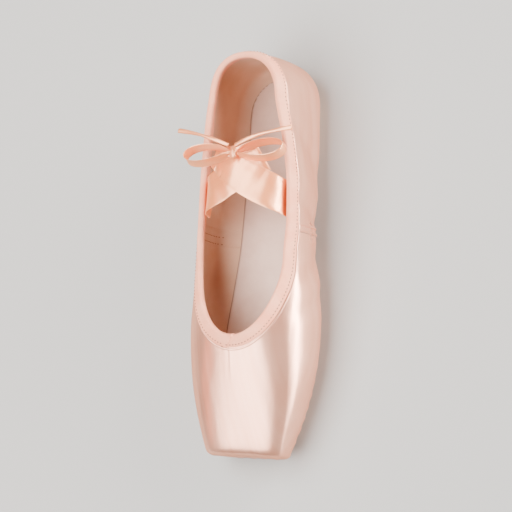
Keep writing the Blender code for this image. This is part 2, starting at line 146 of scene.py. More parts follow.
def math_node(tree, operation, first, second=0.0, third=0.0):
    """The result of a math node with the given numbers or links."""
    made = node(tree, "ShaderNodeMath", {0: first, 1: second, 2: third}, operation=operation)
    return made.outputs[0]


# The weave that every satin shares: fine threads drawn out along the cloth, which lift the
# surface, and slow slubs, which change its colour.
satin_weave, g_in, g_out = group_tree(
    "satin_weave", {"U": 0.0, "V": 0.0, "Thread": 0.0004}, ("Height", "Slub"))
along = math_node(satin_weave, "DIVIDE", g_in.outputs["U"], g_in.outputs["Thread"])
beside = math_node(satin_weave, "DIVIDE", g_in.outputs["V"], g_in.outputs["Thread"])
for label, stretch, squeeze, detail, rough in (
    ("Height", 0.12, 1.0, 2.0, 0.6),
    ("Slub", 0.004, 0.09, 3.0, 0.55),
):
    spread = node(satin_weave, "ShaderNodeCombineXYZ", {
        "X": math_node(satin_weave, "MULTIPLY", along, stretch),
        "Y": math_node(satin_weave, "MULTIPLY", beside, squeeze)})
    threads = node(satin_weave, "ShaderNodeTexNoise", {
        "Vector": spread.outputs[0], "Scale": 1.0, "Detail": detail, "Roughness": rough},
        noise_dimensions="2D")
    satin_weave.links.new(threads.outputs["Fac"], g_out.inputs[label])


def ribbon_finish(name, deep, pale, width):
    """Ribbon satin: woven along its UV map, with a closer, deeper selvedge at each edge."""
    material, tree, shader = finish(
        name, Roughness=0.31, Specular_IOR_Level=0.9, IOR=2.2, Metallic=0.25,
        Subsurface_Weight=0.10, Subsurface_Scale=0.002)
    shader.inputs["Specular Tint"].default_value = (1.0, 0.72, 0.50, 1)
    shader.inputs["Subsurface Radius"].default_value = (1.0, 0.45, 0.25)
    uv = node(tree, "ShaderNodeUVMap", uv_map="cloth")
    split = node(tree, "ShaderNodeSeparateXYZ", {"Vector": uv.outputs[0]})
    weave = node(tree, "ShaderNodeGroup", {
        "U": split.outputs["X"], "V": split.outputs["Y"], "Thread": 0.00026},
        node_tree=satin_weave)
    colour = node(tree, "ShaderNodeMix", {
        "Factor": weave.outputs["Slub"], "A": deep, "B": pale}, data_type="RGBA")
    edge = math_node(tree, "ABSOLUTE", split.outputs["Y"])
    selvedge = node(tree, "ShaderNodeMapRange", {
        "Value": edge, "From Min": width / 2 - SELVEDGE_IN, "From Max": width / 2 - SELVEDGE_OUT})
    tint = node(tree, "ShaderNodeMix", {
        "Factor": math_node(tree, "MULTIPLY", selvedge.outputs[0], 0.35),
        "A": colour.outputs["Result"], "B": deep}, data_type="RGBA")
    tree.links.new(tint.outputs["Result"], shader.inputs["Base Color"])
    raised = math_node(tree, "MULTIPLY", selvedge.outputs[0], 0.8)
    height = math_node(tree, "ADD", weave.outputs["Height"], raised)
    bump = node(tree, "ShaderNodeBump", {"Height": height, "Strength": 0.22, "Distance": 0.00012})
    tree.links.new(bump.outputs[0], shader.inputs["Normal"])
    return material


def link_mesh(name, vertices, faces):
    """A new smooth shaded piece in the scene."""
    mesh = bpy.data.meshes.new(name)
    mesh.from_pydata([tuple(map(float, v)) for v in vertices], [], faces)
    mesh.shade_smooth()
    piece = bpy.data.objects.new(name, mesh)
    bpy.context.scene.collection.objects.link(piece)
    return piece


def face_outward(piece):
    """Turns a closed piece's faces outward."""
    work = bmesh.new()
    work.from_mesh(piece.data)
    bmesh.ops.recalc_face_normals(work, faces=work.faces)
    work.to_mesh(piece.data)
    work.free()


def smooth_route(points, count):
    """Even samples of the Catmull-Rom curve through a route's points."""
    points = np.array(points, float)
    padded = np.vstack([2 * points[0] - points[1], points, 2 * points[-1] - points[-2]])
    result = []
    for sample in np.linspace(0, len(points) - 1, count):
        i = min(int(sample), len(points) - 2)
        t = sample - i
        a, b, c, d = padded[i : i + 4]
        square, cubic = (2 * a - 5 * b + 4 * c - d) * t**2, (3 * b - a - 3 * c + d) * t**3
        result.append((2 * b + (c - a) * t + square + cubic) / 2)
    return np.array(result)


def run_length(centres):
    """The length along a line up to each of its points."""
    return np.concatenate([[0], np.cumsum(np.linalg.norm(np.diff(centres, axis=0), axis=1))])


def tape_piece(name, centres, sides, widths, thickness, rows, form):
    """A strip of cloth with two faces and closed edges, lifted from flat by its form.

    Its UV map, "cloth", is in metres along and across."""
    centres = np.array(centres)
    count = len(centres)
    tangents = np.gradient(centres, axis=0)
    tangents /= np.linalg.norm(tangents, axis=1, keepdims=True)
    sides = np.array(sides, float)
    sides -= tangents * np.sum(sides * tangents, axis=1, keepdims=True)
    sides /= np.linalg.norm(sides, axis=1, keepdims=True)
    faces_up = np.cross(tangents, sides)
    along = run_length(centres)
    shares = np.linspace(-0.5, 0.5, rows + 1)
    edge = np.sqrt(np.clip(1 - (2 * shares) ** 14, 0, 1))
    layers = []
    for sign in (1, -1):
        for i in range(count):
            rise = thickness / 2 * edge * sign + form(along[i] / along[-1], shares)
            run = sides[i] * (widths[i] * shares)[:, None]
            layers.append(centres[i] + run + faces_up[i] * rise[:, None])
    vertices = np.vstack(layers)
    step = rows + 1
    under = count * step
    faces = []
    for i in range(count - 1):
        for k in range(rows):
            a, b = i * step + k, (i + 1) * step + k
            faces.append((a, a + 1, b + 1, b))
            faces.append((under + b, under + b + 1, under + a + 1, under + a))
        a, b = i * step, (i + 1) * step
        faces.append((a, b, under + b, under + a))
        faces.append((b + rows, a + rows, under + a + rows, under + b + rows))
    for k in range(rows):
        last = (count - 1) * step
        faces.append((k + 1, k, under + k, under + k + 1))
        faces.append((last + k, last + k + 1, under + last + k + 1, under + last + k))
    piece = link_mesh(name, vertices, faces)
    face_outward(piece)
    layer = piece.data.uv_layers.new(name="cloth")
    for loop in piece.data.loops:
        place = loop.vertex_index % under
        i, k = divmod(place, step)
        layer.data[loop.index].uv = (along[i], shares[k] * widths[i])
    return piece


def ribbon_piece(name, side, layer, tail, narrowing):
    """A ribbon from its side: its height over the other, its reach past the middle, its taper."""
    centres = smooth_route(np.array(RIBBON_ROUTE) * [side, 1, 1], RIBBON_POINTS)
    centres = centres[centres[:, 0] * side > -tail]
    centres[:, 2] += layer * np.clip((centres[:, 2] - CROSSING_START) / CROSSING_SPAN, 0, 1)
    shares_along = run_length(centres) / run_length(centres)[-1]
    narrowed = np.clip((shares_along - NARROW_FROM) / (1 - NARROW_FROM), 0, 1)
    widths = RIBBON_WIDTH - narrowing * narrowed
    centres[:, 1] -= (RIBBON_WIDTH - widths) / 2

    def drape(share, shares):
        middle = math.sin(math.pi * min(1, max(0, (share - 0.16) / 0.70)))
        ripple = RIPPLE * math.sin(31 * share + 1.6 * side) * middle * (0.75 + 0.5 * shares)
        wave = WAVE * math.sin(5.2 * share + side) * np.cos(math.pi * shares)
        return wave + ripple + CRINKLE * np.sin(9 * shares + 7 * share) * middle

    slant = [[0.0, 1.0, 0.0]] * len(centres)
    piece = tape_piece(name, centres, slant, widths, RIBBON_THICKNESS, RIBBON_ROWS, drape)
    piece.data.materials.append(ribbon_satin)
    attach(piece, "root")
    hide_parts(name)


ribbon_satin = ribbon_finish("ribbon_satin", RIBBON_COLOUR, RIBBON_PALE, RIBBON_WIDTH)
ribbon_piece("ribbon_left", -1, 0.0, 0.0150, 0.0040)
ribbon_piece("ribbon_right", 1, 0.0015, 0.0183, 0.0085)


# The bow is tied of a narrower ribbon: two loops that spread to the sides, a knot wrapped
# round their middle, and two ends rolled to thin strands that point up and outward.
BOW_WIDTH = 0.0068
BOW_REACH = 0.0325
BOW_DEPTH = 0.0145
BOW_TILT = math.radians(25.0)
BOW_LEAN = math.radians(3.5)
BOW_TAPER = 0.35
BOW_PARTING = 0.0006
BOW_THICKNESS = 0.00045
LOOP_POINTS = 121
LOOP_TUCK = 0.0012
END_POINTS = 60
END_WIDTH, END_HEIGHT = 0.00105, 0.00075
END_GIRTH = 0.004
KNOT = np.array([0.0, 0.0545, 0.0620])
KNOT_SIZE = (0.0052, 0.0086, 0.0056)
END_ROUTE = (
    (0.0022, 0.0036, 0.0036),
    (0.0100, 0.0066, 0.0048),
    (0.0200, 0.0098, 0.0042),
    (0.0300, 0.0122, 0.0028),
    (0.0375, 0.0136, 0.0018),
)
bow_satin = ribbon_finish("bow_satin", (0.83, 0.24, 0.08, 1), (0.87, 0.32, 0.14, 1), BOW_WIDTH)


def loop_piece(name, side):
    """One loop, from the knot round and back, pinched where the knot holds it."""
    short = np.array([0.0, math.cos(BOW_TILT), -math.sin(BOW_TILT)])
    across = np.array([0.0, math.sin(BOW_TILT), math.cos(BOW_TILT)])
    lean = np.array([
        [math.cos(BOW_LEAN), math.sin(BOW_LEAN)], [-math.sin(BOW_LEAN), math.cos(BOW_LEAN)]])
    start = KNOT_SIZE[0] / 2 - LOOP_TUCK
    centres, widths = [], []
    for k in range(LOOP_POINTS):
        angle = math.pi * (2 * k / (LOOP_POINTS - 1) - 1)
        spread = (1 + math.cos(angle)) / 2
        reach = start + (BOW_REACH - start) * spread
        swell = BOW_DEPTH / 2 * math.sin(angle) * spread**BOW_TAPER
        parting = math.copysign(BOW_PARTING, angle) * max(0.0, 1 - 12 * spread)
        flat = np.array([side * reach, 0, 0]) + short * (swell + parting)
        centres.append(KNOT + np.array([*(flat[:2] @ lean), flat[2]]))
        widths.append(BOW_WIDTH * (0.62 + 0.38 * min(1, 5 * spread) ** 0.7))

    def cup(share, shares):
        pinch = 1 - abs(2 * share - 1)
        fold = 0.00055 * (1 - min(1, 4.5 * pinch)) * np.cos(4 * math.pi * shares)
        return fold + 0.00045 * np.cos(math.pi * shares) * min(1, 3 * pinch)

    sides = [across] * LOOP_POINTS
    piece = tape_piece(name, centres, sides, widths, BOW_THICKNESS, 14, cup)
    piece.data.materials.append(bow_satin)
    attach(piece, "root")
    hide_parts(name)


def end_piece(name, side):
    """One end, the ribbon rolled to a thin strand that opens a little at its tip."""
    centres = smooth_route(np.array(END_ROUTE) * [side, 1, 1], END_POINTS) + KNOT
    lengths = run_length(centres)
    total = lengths[-1]
    tangents = np.gradient(centres, axis=0)
    tangents /= np.linalg.norm(tangents, axis=1, keepdims=True)
    ring_count = 14
    vertices, faces = [], []
    for i, (centre, tangent) in enumerate(zip(centres, tangents)):
        share = lengths[i] / total
        first = np.cross(tangent, [0, 0, 1])
        first /= np.linalg.norm(first)
        second = np.cross(first, tangent)
        flare = 1 + max(0.0, share - 0.75)
        for k in range(ring_count):
            turn = 2 * math.pi * k / ring_count
            lap = 1 + 0.16 * math.sin(2 * turn + 9 * share)
            vertices.append(
                centre + first * math.cos(turn) * END_WIDTH * flare * lap
                + second * math.sin(turn) * END_HEIGHT * lap
            )
    for i in range(len(centres) - 1):
        for k in range(ring_count):
            a, b = i * ring_count + k, i * ring_count + (k + 1) % ring_count
            faces.append((a, a + ring_count, b + ring_count, b))
    faces.append(tuple(range(ring_count)))
    faces.append(tuple(range((len(centres) - 1) * ring_count, len(centres) * ring_count))[::-1])
    piece = link_mesh(name, vertices, faces)
    face_outward(piece)
    layer = piece.data.uv_layers.new(name="cloth")
    for loop in piece.data.loops:
        i, k = divmod(loop.vertex_index, ring_count)
        layer.data[loop.index].uv = (lengths[i], (k / ring_count - 0.5) * END_GIRTH)
    piece.data.materials.append(bow_satin)
    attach(piece, "root")
    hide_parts(name)


for side_name, side in (("left", -1), ("right", 1)):
    loop_piece("bow_loop_" + side_name, side)
    end_piece("bow_end_" + side_name, side)

bpy.ops.object.select_all(action="DESELECT")
bpy.ops.mesh.primitive_uv_sphere_add(segments=64, ring_count=40, radius=0.5)
knot = bpy.context.object
knot.name = "bow_knot"
for vertex in knot.data.vertices:
    x, y, z = vertex.co
    turn = math.atan2(x, z)
    wrap = 1 + 0.05 * math.cos(7 * turn) * (1 - (2 * y) ** 2) + 0.06 * math.sin(3 * turn + 5 * y)
    vertex.co = (
        KNOT[0] + x * KNOT_SIZE[0] * wrap * (1 - 0.25 * (2 * y) ** 4),
        KNOT[1] + y * KNOT_SIZE[1],
        KNOT[2] + z * KNOT_SIZE[2] * wrap,
    )
knot.data.shade_smooth()
knot.data.uv_layers[0].name = "cloth"
for loop in knot.data.loops:
    x, y, z = knot.data.vertices[loop.vertex_index].co
    knot.data.uv_layers[0].data[loop.index].uv = (y, (x - KNOT[0]) * 1.2)
knot.data.materials.append(bow_satin)
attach(knot, "root")
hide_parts("bow_knot")


# The upper is one satin shell, stiff and full at the box and soft at the quarters, with a
# side seam at each waist, its margin pleated and turned in under the toe, and a tan lining.
SEAM_Y = 0.0119
SATIN = (0.68, 0.285, 0.18, 1)
SATIN_PALE = (0.76, 0.375, 0.26, 1)
LINING = (0.58, 0.335, 0.215, 1)
LINING_PALE = (0.68, 0.435, 0.305, 1)

# Troughs and ridges of the soft quarters: side, start and end as along and height,
# half width and depth, negative for a ridge
CREASES = (
    (1, (0.020, 0.014), (0.034, 0.040), 0.0042, 0.0011),
    (1, (0.034, 0.012), (0.046, 0.034), 0.0038, -0.0006),
    (1, (0.047, 0.012), (0.066, 0.030), 0.0050, 0.0010),
    (1, (0.064, 0.030), (0.078, 0.044), 0.0045, 0.0007),
    (1, (0.004, 0.010), (-0.012, 0.030), 0.0042, 0.0010),
    (1, (-0.010, 0.008), (-0.026, 0.028), 0.0040, -0.0007),
    (1, (-0.020, 0.012), (-0.036, 0.036), 0.0050, 0.0008),
    (-1, (0.020, 0.012), (0.036, 0.038), 0.0045, 0.0010),
    (-1, (0.044, 0.012), (0.062, 0.034), 0.0050, 0.0009),
    (-1, (0.003, 0.012), (-0.014, 0.032), 0.0042, 0.0009),
    (-1, (-0.014, 0.010), (-0.032, 0.030), 0.0048, 0.0007),
    (1, (0.088, 0.020), (0.098, 0.044), 0.0060, 0.0006),
    (-1, (0.088, 0.020), (0.098, 0.044), 0.0060, 0.0006),
)

# The satin dips along the side seam: place behind the seam, half width and rise
SEAM_DIPS = (
    (-0.0008, 0.0016, -0.00022),
    (0.0030, 0.0012, -0.00015),
    (0.0082, 0.0018, -0.00035),
)

# The flat bands sewn over the seams inside: half width, softness of the edge and rise
SIDE_BAND = (0.0050, 0.0004, 0.00035)
BACK_BAND = (0.00425, 0.00025, 0.0003)

# The back seam's groove, and the fine line down the vamp: place, half width and rise
BACK_SEAM = (0.0, 0.0012, -0.00025)
VAMP_LINE = (-0.0008, 0.0007, 0.00014)

# The pleats fan round a point under the toe. They start at the top and back given here,
# and are at their deepest from the bottom and front
PLEAT_COUNT = 30
PLEAT_DEPTH = 0.00055
PLEAT_CENTRE_Y = -0.0830
PLEAT_TOP, PLEAT_BOTTOM = 0.0170, 0.0080
PLEAT_BACK, PLEAT_FRONT = -0.052, -0.078

# The slow unevenness of the soft quarters and of the hard box
QUARTER_WAVE = 0.00022
BOX_WAVE = 0.00010

# How near a knot of the mesh the surface is smoothed more, and where the platform starts
KNOT_REACH = 0.0055
PLATFORM_Y = -0.111

# How far from the middle a point is taken for a side wall: in creases, inside, outside
CREASE_X, INSIDE_X, OUTSIDE_X = 0.008, 0.014, 0.020

# A line through the hollow that tells outside from inside: its ends, where it drops
# toward the toe, and its heights before and behind that
HOLLOW_FRONT, HOLLOW_BACK, HOLLOW_DROP = -0.104, 0.096, -0.06
HOLLOW_HEIGHTS = (0.018, 0.024)


def smooth_copy(source, name, levels, softened=0):
    """A copy of a CAD node as quads, smoothed by subdivision and then softened if asked.

    Knots, where other than four edges meet, and the platform are softened more."""
    piece = bpy.data.objects.new(name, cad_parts[source].data.copy())
    bpy.context.scene.collection.objects.link(piece)
    piece.data.materials.clear()
    bpy.ops.object.select_all(action="DESELECT")
    piece.select_set(True)
    bpy.context.view_layer.objects.active = piece
    if "custom_normal" in piece.data.attributes:
        piece.data.attributes.remove(piece.data.attributes["custom_normal"])
    bpy.ops.object.mode_set(mode="EDIT")
    bpy.ops.mesh.select_all(action="SELECT")
    bpy.ops.mesh.remove_doubles(threshold=1e-6)
    bpy.ops.mesh.tris_convert_to_quads(
        face_threshold=math.pi, shape_threshold=math.pi, topology_influence=2.0)
    bpy.ops.mesh.mark_sharp(clear=True)
    bpy.ops.object.mode_set(mode="OBJECT")
    meetings = np.bincount([vertex for edge in piece.data.edges for vertex in edge.vertices])
    uneven = {int(vertex) for vertex in np.flatnonzero(meetings != 4)}
    for face in piece.data.polygons:
        if len(face.vertices) == 3:
            uneven.update(face.vertices)
    knots = np.array([piece.data.vertices[vertex].co for vertex in uneven])
    smoother = piece.modifiers.new("smooth", "SUBSURF")
    smoother.levels = smoother.render_levels = levels
    bpy.ops.object.modifier_apply(modifier="smooth")
    if softened:
        points = np.array([vertex.co for vertex in piece.data.vertices])
        gaps = np.array([np.linalg.norm(knots - point, axis=1).min() for point in points])
        piece.data.polygons.foreach_set("select", np.zeros(len(piece.data.polygons), bool))
        piece.data.edges.foreach_set("select", np.zeros(len(piece.data.edges), bool))
        chosen = (gaps < KNOT_REACH) | (points[:, 1] < PLATFORM_Y)
        piece.data.vertices.foreach_set("select", chosen)
        bpy.ops.object.mode_set(mode="EDIT")
        bpy.ops.mesh.select_mode(type="VERT")
        bpy.ops.mesh.vertices_smooth(factor=0.5, repeat=4 * softened)
        bpy.ops.mesh.select_all(action="SELECT")
        bpy.ops.mesh.vertices_smooth(factor=0.5, repeat=softened)
        bpy.ops.object.mode_set(mode="OBJECT")
    piece.data.shade_smooth()
    return piece


def mesh_arrays(piece):
    """The places and normals of a piece's vertices."""
    count = len(piece.data.vertices)
    points, normals = np.zeros(count * 3), np.zeros(count * 3)
    piece.data.vertices.foreach_get("co", points)
    piece.data.vertices.foreach_get("normal", normals)
    return points.reshape(-1, 3), normals.reshape(-1, 3)


def set_points(piece, points):
    """Moves a piece's vertices to new places."""
    piece.data.vertices.foreach_set("co", points.ravel())
    piece.data.update()


def outward(points, normals):
    """True where the surface faces away from the middle of the shoe."""
    y = np.clip(points[:, 1], HOLLOW_FRONT, HOLLOW_BACK)
    z = np.where(y > HOLLOW_DROP, HOLLOW_HEIGHTS[1], HOLLOW_HEIGHTS[0])
    middle = np.stack([np.zeros(len(y)), y, z], 1)
    return np.sum((points - middle) * normals, axis=1) > 0


def fade(value, low, high):
    """A soft step from 0 at low to 1 at high."""
    t = np.clip((value - low) / (high - low), 0, 1)
    return t * t * (3 - 2 * t)


def near_line(points, side, start, end):
    """Distance from a line drawn on one side of the shoe, and how far along it."""
    a, b = np.array(start), np.array(end)
    flat = points[:, 1:3]
    run = b - a
    t = np.clip((flat - a) @ run / (run @ run), 0, 1)
    gap = np.linalg.norm(flat - (a + t[:, None] * run), axis=1)
    return np.where(points[:, 0] * side > CREASE_X, gap, 1.0), t


def face_arrays(piece):
    """The middles and normals of a piece's faces."""
    count = len(piece.data.polygons)
    middles, facing = np.zeros(count * 3), np.zeros(count * 3)
    piece.data.polygons.foreach_get("center", middles)
    piece.data.polygons.foreach_get("normal", facing)
    return middles.reshape(-1, 3), facing.reshape(-1, 3)


def refine(piece, chosen, cuts):
    """Divides the chosen faces of a piece so that they follow its curve."""
    bpy.ops.object.select_all(action="DESELECT")
    piece.select_set(True)
    bpy.context.view_layer.objects.active = piece
    bpy.ops.object.mode_set(mode="EDIT")
    bpy.ops.mesh.select_mode(type="FACE")
    bpy.ops.mesh.select_all(action="DESELECT")
    bpy.ops.object.mode_set(mode="OBJECT")
    piece.data.polygons.foreach_set("select", chosen)
    bpy.ops.object.mode_set(mode="EDIT")
    bpy.ops.mesh.subdivide(number_cuts=cuts, smoothness=1.0)
    bpy.ops.object.mode_set(mode="OBJECT")


def bump_line(value, width):
    """A soft hump of height 1 round 0."""
    return np.exp(-((value / width) ** 2))


def flat_band(gap, half, soft):
    """1 on a band either side of a line, with soft edges."""
    return fade(-np.abs(gap), -half - soft, -half + soft)


def shape_upper(piece):
    """Works the creases, seams, bands and pleats into the smooth shell."""
    middles, facing = face_arrays(piece)
    near_seam = np.abs(middles[:, 1] - SEAM_Y - 0.0015) < 0.0095
    refine(piece, near_seam & (np.abs(middles[:, 0]) > INSIDE_X), 1)
    middles, facing = face_arrays(piece)
    x, y, z = middles.T
    toe_margin = (y < -0.050) & (z < 0.021)
    front_line = (np.abs(x) < 0.004) & (y < -0.055) & (y > -0.082) & (z > 0.02)
    refine(piece, outward(middles, facing) & (toe_margin | front_line), 1)

    points, normals = mesh_arrays(piece)
    outer = outward(points, normals)
    x, y, z = points.T
    move = np.zeros(len(points))
    for side, start, end, width, depth in CREASES:
        gap, t = near_line(points, side, start, end)
        move -= depth * bump_line(gap, width) * np.sin(math.pi * (0.15 + 0.7 * t))
    for place, width, rise in SEAM_DIPS:
        dip = rise * bump_line(y - SEAM_Y - place, width)
        move += np.where(outer & (np.abs(x) > OUTSIDE_X), dip, 0)

    half, soft, rise = SIDE_BAND
    side_band = rise * flat_band(y - SEAM_Y, half, soft)
    move += np.where(~outer & (np.abs(x) > INSIDE_X), side_band, 0)
    half, soft, rise = BACK_BAND
    back_band = rise * flat_band(x, half, soft) * (y > 0.09)
    place, width, rise = BACK_SEAM
    back_seam = rise * bump_line(x - place, width) * (y > 0.1)
    move += np.where(outer, back_seam, back_band)
    place, width, rise = VAMP_LINE
    vamp_line = rise * bump_line(x - place, width) * fade(y, -0.078, -0.066) * (z > 0.02)
    move += np.where(outer, vamp_line, 0)

    turn = np.arctan2(x, PLEAT_CENTRE_Y - y)
    under = fade(-z, -PLEAT_TOP, -PLEAT_BOTTOM) * fade(-y, -PLEAT_BACK, -PLEAT_FRONT)
    wave = np.abs(((turn * PLEAT_COUNT / (2 * math.pi)) % 1) - 0.35)
    move += np.where(outer, PLEAT_DEPTH * under * (wave * 2 - 0.6), 0)

    slow = np.sin(61 * y + 124 * x) * np.sin(47 * z + 23 * y + 1.3)
    move += QUARTER_WAVE * slow * fade(y, -0.06, -0.01)
    box = np.sin(x * 210 + 0.6) * np.sin(y * 74 + 1.0) * fade(-y, 0.02, 0.06)
    move += np.where(outer, BOX_WAVE * box, 0)
    sign = np.where(outer, 1, -1)
    set_points(piece, points + normals * (move * sign)[:, None])


def satin_finish():
    """The upper's satin: woven along the shoe, its sheen and colour a little clouded."""
    material, tree, shader = finish(
        "satin", Roughness=0.28, Specular_IOR_Level=0.95, IOR=2.8, Metallic=0.50,
        Subsurface_Weight=0.06, Subsurface_Scale=0.0015)
    shader.inputs["Specular Tint"].default_value = (0.90, 0.56, 0.42, 1)
    shader.inputs["Subsurface Radius"].default_value = (1.0, 0.5, 0.35)
    place = node(tree, "ShaderNodeTexCoord").outputs["Object"]
    split = node(tree, "ShaderNodeSeparateXYZ", {"Vector": place})
    around = math_node(tree, "MULTIPLY_ADD", split.outputs["Z"], 0.7, split.outputs["X"])
    weave = node(tree, "ShaderNodeGroup", {
        "U": split.outputs["Y"], "V": around, "Thread": 0.00034}, node_tree=satin_weave)
    cloud = node(tree, "ShaderNodeTexNoise", {
        "Vector": place, "Scale": 38.0, "Detail": 3.0, "Roughness": 0.5})
    blend = math_node(tree, "MULTIPLY_ADD", weave.outputs["Slub"], 0.55,
                      math_node(tree, "MULTIPLY", cloud.outputs["Fac"], 0.45))
    colour = ramp(tree, blend, ((0.32, SATIN), (0.66, SATIN_PALE)))
    tree.links.new(colour, shader.inputs["Base Color"])
    rough = node(tree, "ShaderNodeMapRange", {
        "Value": cloud.outputs["Fac"], "To Min": 0.25, "To Max": 0.33})
    tree.links.new(rough.outputs[0], shader.inputs["Roughness"])
    fine = node(tree, "ShaderNodeBump", {
        "Height": weave.outputs["Height"], "Strength": 0.16, "Distance": 0.00010})
    pull = node(tree, "ShaderNodeMapping", {"Vector": place, "Scale": (1.0, 0.16, 1.0)})
    strain = node(tree, "ShaderNodeTexNoise", {
        "Vector": pull.outputs[0], "Scale": 190.0, "Detail": 2.0, "Roughness": 0.5})
    coarse = node(tree, "ShaderNodeBump", {
        "Height": strain.outputs["Fac"], "Strength": 0.30, "Distance": 0.00035,
        "Normal": fine.outputs[0]})
    tree.links.new(coarse.outputs[0], shader.inputs["Normal"])
    return material


def lining_finish():
    """The lining: matte tan cotton with a fine rib."""
    material, tree, shader = finish(
        "lining", Roughness=0.78, Sheen_Weight=0.1, Sheen_Roughness=0.5, Specular_IOR_Level=0.3)
    shader.inputs["Sheen Tint"].default_value = (1.0, 0.8, 0.65, 1)
    place = node(tree, "ShaderNodeTexCoord").outputs["Object"]
    cloud = node(tree, "ShaderNodeTexNoise", {"Vector": place, "Scale": 30.0, "Detail": 4.0})
    threads = node(tree, "ShaderNodeTexWave", {
        "Vector": place, "Scale": 900.0, "Distortion": 0.6, "Detail": 1.0}, bands_direction="Y")
    colour = ramp(tree, cloud.outputs["Fac"], ((0.35, LINING), (0.7, LINING_PALE)))
    tree.links.new(colour, shader.inputs["Base Color"])
    bump = node(tree, "ShaderNodeBump", {
        "Height": threads.outputs["Fac"], "Strength": 0.25, "Distance": 0.0001})
    tree.links.new(bump.outputs[0], shader.inputs["Normal"])
    return material


satin = satin_finish()
lining = lining_finish()
upper = smooth_copy("upper", "upper_satin", 2, 4)
upper.data.materials.append(satin)
upper.data.materials.append(lining)
shape_upper(upper)
inside = ~outward(*face_arrays(upper))
upper.data.polygons.foreach_set("material_index", inside.astype(int))
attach(upper, "root")
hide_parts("upper")


# Each side seam is felled: two narrow folds of satin stand up along it, and the front one
# throws a dark ditch on its toe side, laid in as a thin dark tube of painted shadow.
FOLDS = (0.0012, 0.0048)
FOLD_WIDTH = 0.0015
FOLD_HEIGHT = 0.0012
DITCH = 0.0002
DITCH_WIDTH = 0.0007
DITCH_HEIGHT = 0.0005
DITCH_PAINTED_SHADOW = (0.36, 0.16, 0.10, 1)
SEAM_HEIGHTS = np.arange(0.0105, 0.0415, 0.0006)
BESIDE_SHOE = 0.08


def thread_and_shadow_finish(name, colour, roughness):
    """Plain matte finish: sewing thread, and the painted shadow along each side seam."""
    material, tree, shader = finish(name, Roughness=roughness)
    shader.inputs["Base Color"].default_value = colour
    return material


def unit(vectors):
    """Each vector at length 1."""
    return vectors / np.linalg.norm(vectors, axis=-1, keepdims=True)


def welt(name, bases, across, normals, width, height, material, closed=False):
    """A round fold along a line on the satin, tapered and capped at its ends unless closed."""
    count, sides = len(bases), 12
    thick = np.ones(count)
    if not closed:
        from_end = np.minimum(np.arange(count), np.arange(count)[::-1])
        thick = np.clip(from_end / 3, 0.1, 1)
    turns = np.linspace(0, 2 * math.pi, sides + 1)[:-1]
    rings = [
        base + (wide * math.cos(turn) * width / 2 + normal * math.sin(turn) * height / 2) * size
        for base, wide, normal, size in zip(bases, across, normals, thick) for turn in turns
    ]
    faces = []
    for i in range(count if closed else count - 1):
        for k in range(sides):
            a, b = i * sides, ((i + 1) % count) * sides
            faces.append((a + k, b + k, b + (k + 1) % sides, a + (k + 1) % sides))
    if not closed:
        faces += [tuple(range(sides)), tuple(range((count - 1) * sides, count * sides))]
    piece = link_mesh(name, rings, faces)
    face_outward(piece)
    piece.data.materials.append(material)
    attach(piece, "root")


def seam_line(side, along):
    """A smooth line up the side of the satin, behind the seam by along, with its normals."""
    bases, normals = [], []
    for height in SEAM_HEIGHTS:
        start = (side * BESIDE_SHOE, SEAM_Y + along, height)
        met, spot, facing, _ = upper.ray_cast(start, (-side, 0.0, 0.0))
        if met:
            bases.append(np.array(spot))
            normals.append(np.array(facing))
    bases, normals = np.array(bases), np.array(normals)
    for _ in range(4):
        bases[1:-1] = (bases[:-2] + 2 * bases[1:-1] + bases[2:]) / 4
        normals[1:-1] = unit(normals[:-2] + 2 * normals[1:-1] + normals[2:])
    return bases, unit(np.cross(normals, np.gradient(bases, axis=0))), normals


bpy.context.view_layer.update()
# The dark tube laid along each side seam is painted shadow of the front fold.
ditch_painted_shadow = thread_and_shadow_finish("ditch_painted_shadow", DITCH_PAINTED_SHADOW, 0.7)
for side, label in ((-1, "left"), (1, "right")):
    welt("seam_painted_shadow_" + label, *seam_line(side, DITCH), DITCH_WIDTH, DITCH_HEIGHT, ditch_painted_shadow)
    for number, along in enumerate(FOLDS, 1):
        fold = "seam_fold_%s_%d" % (label, number)
        welt(fold, *seam_line(side, along), FOLD_WIDTH, FOLD_HEIGHT, satin)


# Inside, a flat band covers the side seam and another the back seam, each sewn down with
# two rows of stitches in a thread darker than the lining.
LINING_THREAD = (0.26, 0.12, 0.07, 1)
LINING_STITCH = (0.0011, 0.00060, 0.00044)
SIDE_ROWS = (-0.0036, 0.0006)
SIDE_STITCHES = np.arange(0.0145, 0.0425, 0.0017)
BACK_ROWS = (-0.0030, 0.0030)
BACK_STITCHES = np.arange(0.0165, 0.0490, 0.0020)
STITCH_LIFT = 0.00004


def sewn_row(name, places, runs, normals, size, material):
    """Stitches along a row as one joined mesh, each a copy of one small thread form."""
    bpy.ops.object.select_all(action="DESELECT")
    bpy.ops.mesh.primitive_uv_sphere_add(segments=8, ring_count=5, radius=0.5)
    thread = bpy.context.object
    form = mesh_arrays(thread)[0] * size
    faces = [tuple(face.vertices) for face in thread.data.polygons]
    bpy.data.objects.remove(thread)
    ups = unit(np.array(normals))
    runs = np.array(runs)
    runs = unit(runs - ups * np.sum(runs * ups, axis=1, keepdims=True))
    across = np.cross(ups, runs)
    vertices = []
    for place, run, beside, up in zip(places, runs, across, ups):
        vertices.append(place + form[:, :1] * run + form[:, 1:2] * beside + form[:, 2:] * up)
    step = len(form)
    joined = [tuple(v + i * step for v in face) for i in range(len(places)) for face in faces]
    piece = link_mesh(name, np.vstack(vertices), joined)
    piece.data.materials.append(material)
    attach(piece, "root")


def ray_row(piece, starts, aims):
    """Where rays from inside the shoe meet a piece, and its normal there."""
    places, normals = [], []
    for start, aim in zip(starts, aims):
        met, place, normal, _ = piece.ray_cast(start, aim)
        if met:
            places.append(np.array(place))
            normals.append(np.array(normal))
    return np.array(places), np.array(normals)


